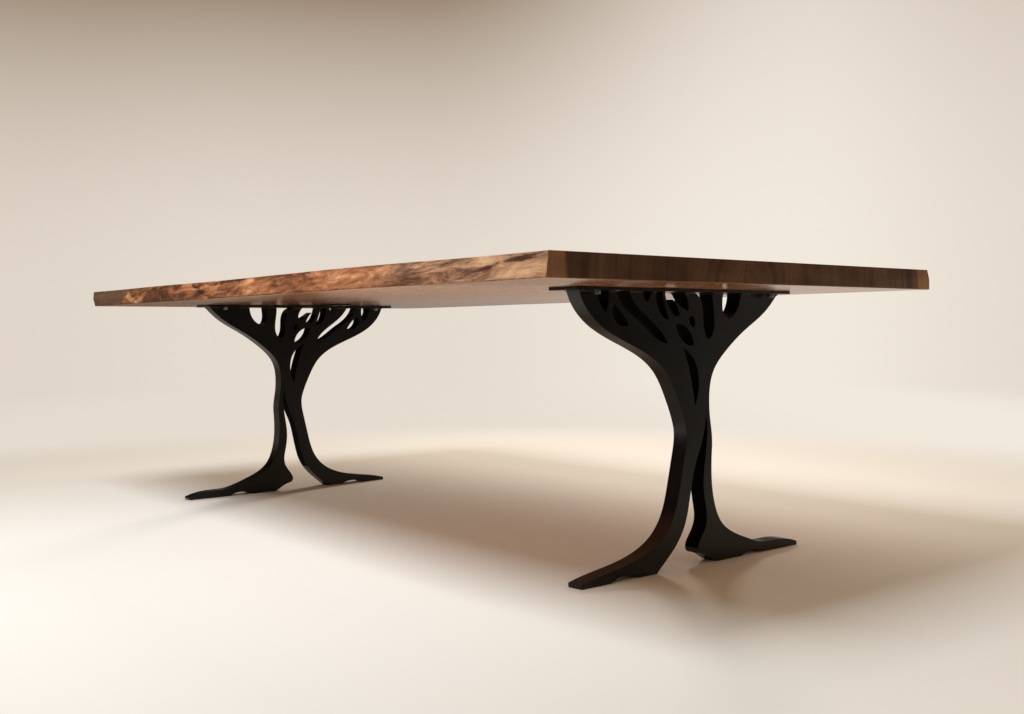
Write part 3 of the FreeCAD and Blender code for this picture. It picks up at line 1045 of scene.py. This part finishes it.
class TABLE_OT_plate_bolts(bpy.types.Operator):
    """Models the socket-head bolts of the plates"""
    bl_idname = "slab_table.plate_bolts"
    bl_label = "Plate Bolts"

    def execute(self, context):
        settings = context.scene.slab_table.fasteners
        boxes = solids("plate_bolts_right")
        low, high = boxes[0]
        bolt = self.bolt(PLATE_LOW.z - low.z, high.z - low.z, settings)
        bolts = copies(bolt, boxes, "zinc_bolts_right")
        metal = metal_finish("zinc_plate", settings.zinc, settings.zinc_tint, 0.28, 60.0)
        hand_over_pair(bolts, other_end(bolts, "zinc_bolts_left"), "zinc_steel", [metal], "plate_bolts")
        return {"FINISHED"}

    @staticmethod
    def bolt(head_height, full_height, settings):
        """A socket-head bolt standing head down, its head at height 0."""
        radius = settings.bolt_head / 2
        shank = settings.bolt_shank / 2
        head = rod("head", 48, radius, 0.0, head_height)
        cut(head, [rod("socket", 6, settings.socket_flats / math.sqrt(3), -OVERRUN, settings.socket_depth)])

        def on_rim(edge):
            way, place = span(head.data, edge)
            from_axis = min(head.data.vertices[i].co.xy.length for i in edge.vertices)
            return from_axis > radius * 0.9 and place.z < MM and abs(way.z) < NIL

        pick_edges(head, on_rim)
        bpy.ops.mesh.bevel(offset=settings.head_edge, segments=3, affect="EDGES")
        smooth(head, 40.0)
        stem = grown("shank", 24, [
            (shank, head_height - 0.5 * MM), (shank, full_height - 1.2 * MM), (shank * 0.8, full_height),
        ])
        ease(stem, 0.2 * MM)
        return joined([head, stem], "bolt")


class TABLE_OT_strap_screws(bpy.types.Operator):
    """Models the round-head screws of the straps"""
    bl_idname = "slab_table.strap_screws"
    bl_label = "Strap Screws"

    def execute(self, context):
        settings = context.scene.slab_table.fasteners
        boxes = solids("strap_screws_right")
        low, high = boxes[0]
        screw = self.screw((high.x - low.x) / 2, STRAP_LOW.z - low.z, high.z - low.z, settings)
        screws = copies(screw, boxes, "zinc_screws_right")
        metal = bpy.data.materials["zinc_plate"]
        hand_over_pair(screws, other_end(screws, "zinc_screws_left"), "zinc_steel", [metal], "strap_screws")
        return {"FINISHED"}

    @staticmethod
    def screw(radius, head_height, full_height, settings):
        """A screw standing head down, its domed head at height 0 and its point up."""
        shank = settings.screw_shank / 2
        dome = ((0.40, 0.0), (0.66, 0.10), (0.86, 0.30), (0.97, 0.62), (1.0, 0.85), (1.0, 1.0))
        head = grown("screw_head", 32, [(radius * across, head_height * up) for across, up in dome])
        arm, half = settings.recess_arm, settings.recess_width / 2
        for x, y in ((arm, half), (half, arm)):
            cut(head, [block("recess", Vector((-x, -y, -OVERRUN)), Vector((x, y, settings.recess)))])
        stem = grown("screw_shank", 20, [
            (shank, head_height - 0.5 * MM), (shank, full_height - 4 * MM), (shank * 0.15, full_height),
        ])
        whole = joined([head, stem], "screw")
        smooth(whole, 40.0)
        return whole


class TABLE_OT_threaded_inserts(bpy.types.Operator):
    """Finishes the brass inserts, which keep their CAD shape"""
    bl_idname = "slab_table.threaded_inserts"
    bl_label = "Threaded Inserts"

    def execute(self, context):
        settings = context.scene.slab_table.fasteners
        metal = metal_finish("insert_brass", settings.brass, settings.brass_tint, 0.30, 80.0)
        for side in SIDES:
            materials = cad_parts["threaded_inserts_" + side].data.materials
            if len(materials):
                materials[0] = metal
            else:
                materials.append(metal)
        return {"FINISHED"}


STAGE_RADIUS = 9.0
STAGE_HEIGHT = 8.0

# Lamps, as (place, point that it faces, size)
FRONT_LAMP = ((0.23, -1.77, 3.13), (0.09, -0.70, 0.0), (1.26, 1.40))
TOP_LAMP = ((0.06, 1.25, 2.31), (0.02, 1.80, 0.0), (0.55, 2.17))
BACK_LAMP = ((-3.53, 4.37, 2.28), (-1.41, -0.43, 0.0), (1.00, 0.62))

# The photograph's camera: its place, the direction of its view, its tilt and its sensor
CAMERA_PLACE = (2.89475, -2.14894, 0.60973)
CAMERA_VIEW = (-0.76806, 0.63991, -0.02443)
CAMERA_TILT = math.radians(-0.45)
SENSOR_WIDTH = 36.0

STAGE_RIGHT = (0.64, 0.77)  # direction on the floor towards the bright side of the stage


def stage_glow(finish, settings):
    """The pale tone of the far floor and the wall, with painted light and shade: brightest right of the middle
    and darker upwards. In mirrored rays a painted shade makes it dark on the near side of the stage and high
    up."""
    x, y, z = finish.axes((1 / STAGE_RADIUS, 1 / STAGE_RADIUS, 1 / STAGE_HEIGHT))
    rightward = x * STAGE_RIGHT[0] + y * STAGE_RIGHT[1]
    onward = y * STAGE_RIGHT[0] - x * STAGE_RIGHT[1]
    bright = 0.75 + finish.step(rightward, -0.55, -0.30) * 0.07
    bright = bright + finish.step(rightward, -0.08, 0.32) * 0.19 - finish.step(rightward, 0.36, 0.62) * 0.20
    high = finish.math("MAXIMUM", z - 0.12, 0.0) / 0.41
    level = bright - high * high * (0.73 - finish.step(rightward, -0.10, 0.40) * 0.49)
    glossy = finish.ray("Is Glossy Ray")
    # mirrored rays that run low see the floor's shade, more so on the left
    low = (1 - finish.step(z, 0.02, 0.05)) * (0.50 - rightward)
    shade = finish.blend(settings.dusk, settings.glow, level - glossy * low * 1.05)
    mirrored = finish.step(onward, -0.15, 0.15) * (1 - finish.step(z, 0.03, 0.20)) * (1 - low * 0.2)
    dim = 1 - glossy * (1 - mirrored) * 0.96
    return finish.node("ShaderNodeEmission", {}, {"Color": finish.darken(shade, dim)})


class TABLE_OT_stage(bpy.types.Operator):
    """Sets up the floor, the backdrop, the light and the camera"""
    bl_idname = "slab_table.stage"
    bl_label = "Stage"

    def execute(self, context):
        settings = context.scene.slab_table.stage
        self.floor(settings)
        self.backdrop(settings)
        self.lamp("front_lamp", *FRONT_LAMP, settings.key, settings.white)
        self.lamp("top_lamp", *TOP_LAMP, settings.top, settings.warm)
        self.lamp("back_lamp", *BACK_LAMP, settings.back, settings.warm)
        self.sky(context.scene, settings)
        self.camera(context.scene, settings)
        return {"FINISHED"}

    @staticmethod
    def floor(settings):
        """A round floor, which takes the backdrop's tone far out and is clear from below."""
        activate(None)
        bpy.ops.mesh.primitive_circle_add(vertices=128, radius=STAGE_RADIUS, fill_type="NGON")
        floor = named("floor")
        finish = Finish("pale_floor")
        camera, glossy = finish.ray("Is Camera Ray"), finish.ray("Is Glossy Ray")
        x, y, _ = finish.axes()
        far = finish.step((x * x + y * y) ** 0.5, 2.0, 3.6) * finish.math("MAXIMUM", camera, glossy)
        # mirrored rays see the floor a quarter darker: painted shade in its reflections
        grey = (0.985 + finish.cloud((1.2, 1.2, 1.2)) * 0.03) * (1 - glossy * 0.25)
        paint = finish.node("ShaderNodeBsdfDiffuse", {}, {"Color": finish.darken(settings.floor, grey)})
        surface = finish.mixed(far, paint, stage_glow(finish, settings))
        below = finish.node("ShaderNodeNewGeometry", {}, {}, "Backfacing")
        floor.data.materials.append(finish.end_in(finish.mixed(below * camera, surface, finish.clear())))

    @staticmethod
    def backdrop(settings):
        """A pale wall all round, which is seen and mirrored but gives no light of its own."""
        activate(None)
        bpy.ops.mesh.primitive_cylinder_add(vertices=128, radius=STAGE_RADIUS, depth=STAGE_HEIGHT,
                                            end_fill_type="NOTHING", location=(0, 0, STAGE_HEIGHT / 2))
        wall = settle(named("backdrop"))
        bpy.ops.object.shade_smooth()
        finish = Finish("pale_backdrop")
        seen = finish.math("MAXIMUM", finish.ray("Is Camera Ray"), finish.ray("Is Glossy Ray"))
        shader = finish.mixed(seen, finish.clear(), stage_glow(finish, settings))
        wall.data.materials.append(finish.end_in(shader))

    @staticmethod
    def lamp(name, place, target, size, power, white):
        """An area lamp. Only the front one shows in the gloss of wood and steel."""
        activate(None)
        aim = (Vector(target) - Vector(place)).to_track_quat("-Z", "Y").to_euler()
        bpy.ops.object.light_add(type="AREA", location=place, rotation=aim)
        lamp = named(name)
        lamp.data.shape = "RECTANGLE"
        lamp.data.size, lamp.data.size_y = size
        lamp.data.energy = power
        lamp.data.color = white
        lamp.visible_camera = False
        lamp.visible_glossy = name == "front_lamp"

    @staticmethod
    def sky(scene, settings):
        """Soft light from all round, which the camera sees as the backdrop's pale tone."""
        world = bpy.data.worlds.new("soft_sky")
        world.use_nodes = True
        nodes, links = world.node_tree.nodes, world.node_tree.links
        light = nodes["Background"]
        light.inputs["Color"].default_value = (*settings.tint, 1)
        light.inputs["Strength"].default_value = settings.sky
        pale = nodes.new("ShaderNodeBackground")
        pale.inputs["Color"].default_value = (*settings.glow, 1)
        path = nodes.new("ShaderNodeLightPath")
        mix = nodes.new("ShaderNodeMixShader")
        links.new(path.outputs["Is Camera Ray"], mix.inputs["Fac"])
        links.new(light.outputs["Background"], mix.inputs[1])
        links.new(pale.outputs["Background"], mix.inputs[2])
        links.new(mix.outputs["Shader"], nodes["World Output"].inputs["Surface"])
        scene.world = world

    @staticmethod
    def camera(scene, settings):
        """A camera at the photograph's place, with its slight tilt."""
        forward = Vector(CAMERA_VIEW).normalized()
        right = forward.cross(Vector((0, 0, 1))).normalized()
        up = right.cross(forward)
        turn = Matrix((right, up, -forward)).transposed() @ Matrix.Rotation(CAMERA_TILT, 3, "Z")
        activate(None)
        bpy.ops.object.camera_add(location=CAMERA_PLACE, rotation=turn.to_euler())
        camera = named("photo_camera")
        camera.data.lens = settings.lens
        camera.data.sensor_width = SENSOR_WIDTH
        camera.data.dof.use_dof = False
        camera.data.clip_end = 100.0
        scene.camera = camera
        scene.view_settings.view_transform = "Standard"


OPERATORS = (
    TABLE_OT_walnut_slab, TABLE_OT_tree_legs, TABLE_OT_mounting_plates, TABLE_OT_brace_straps,
    TABLE_OT_weld_beads, TABLE_OT_plate_bolts, TABLE_OT_strap_screws, TABLE_OT_threaded_inserts,
    TABLE_OT_stage,
)


class TABLE_PT_pieces(bpy.types.Panel):
    """The table's pieces, in the order in which they are made"""
    bl_idname = "TABLE_PT_pieces"
    bl_label = "Slab Table"
    bl_space_type = "VIEW_3D"
    bl_region_type = "UI"
    bl_category = "Slab Table"

    def draw(self, context):
        for operator in OPERATORS:
            self.layout.operator(operator.bl_idname)


SETTINGS = (SlabSettings, SteelSettings, FastenerSettings, StageSettings, TableSettings)
CLASSES = (*SETTINGS, *OPERATORS, TABLE_PT_pieces)


def register():
    for each in CLASSES:
        bpy.utils.register_class(each)
    bpy.types.Scene.slab_table = PointerProperty(type=TableSettings)


def unregister():
    del bpy.types.Scene.slab_table
    for each in reversed(CLASSES):
        bpy.utils.unregister_class(each)


def main():
    register()
    bpy.ops.slab_table.walnut_slab()
    bpy.ops.slab_table.tree_legs()
    bpy.ops.slab_table.mounting_plates()
    bpy.ops.slab_table.brace_straps()
    bpy.ops.slab_table.weld_beads()
    bpy.ops.slab_table.plate_bolts()
    bpy.ops.slab_table.strap_screws()
    bpy.ops.slab_table.threaded_inserts()
    bpy.ops.slab_table.stage()
    activate(None)


if __name__ == "__main__":
    main()
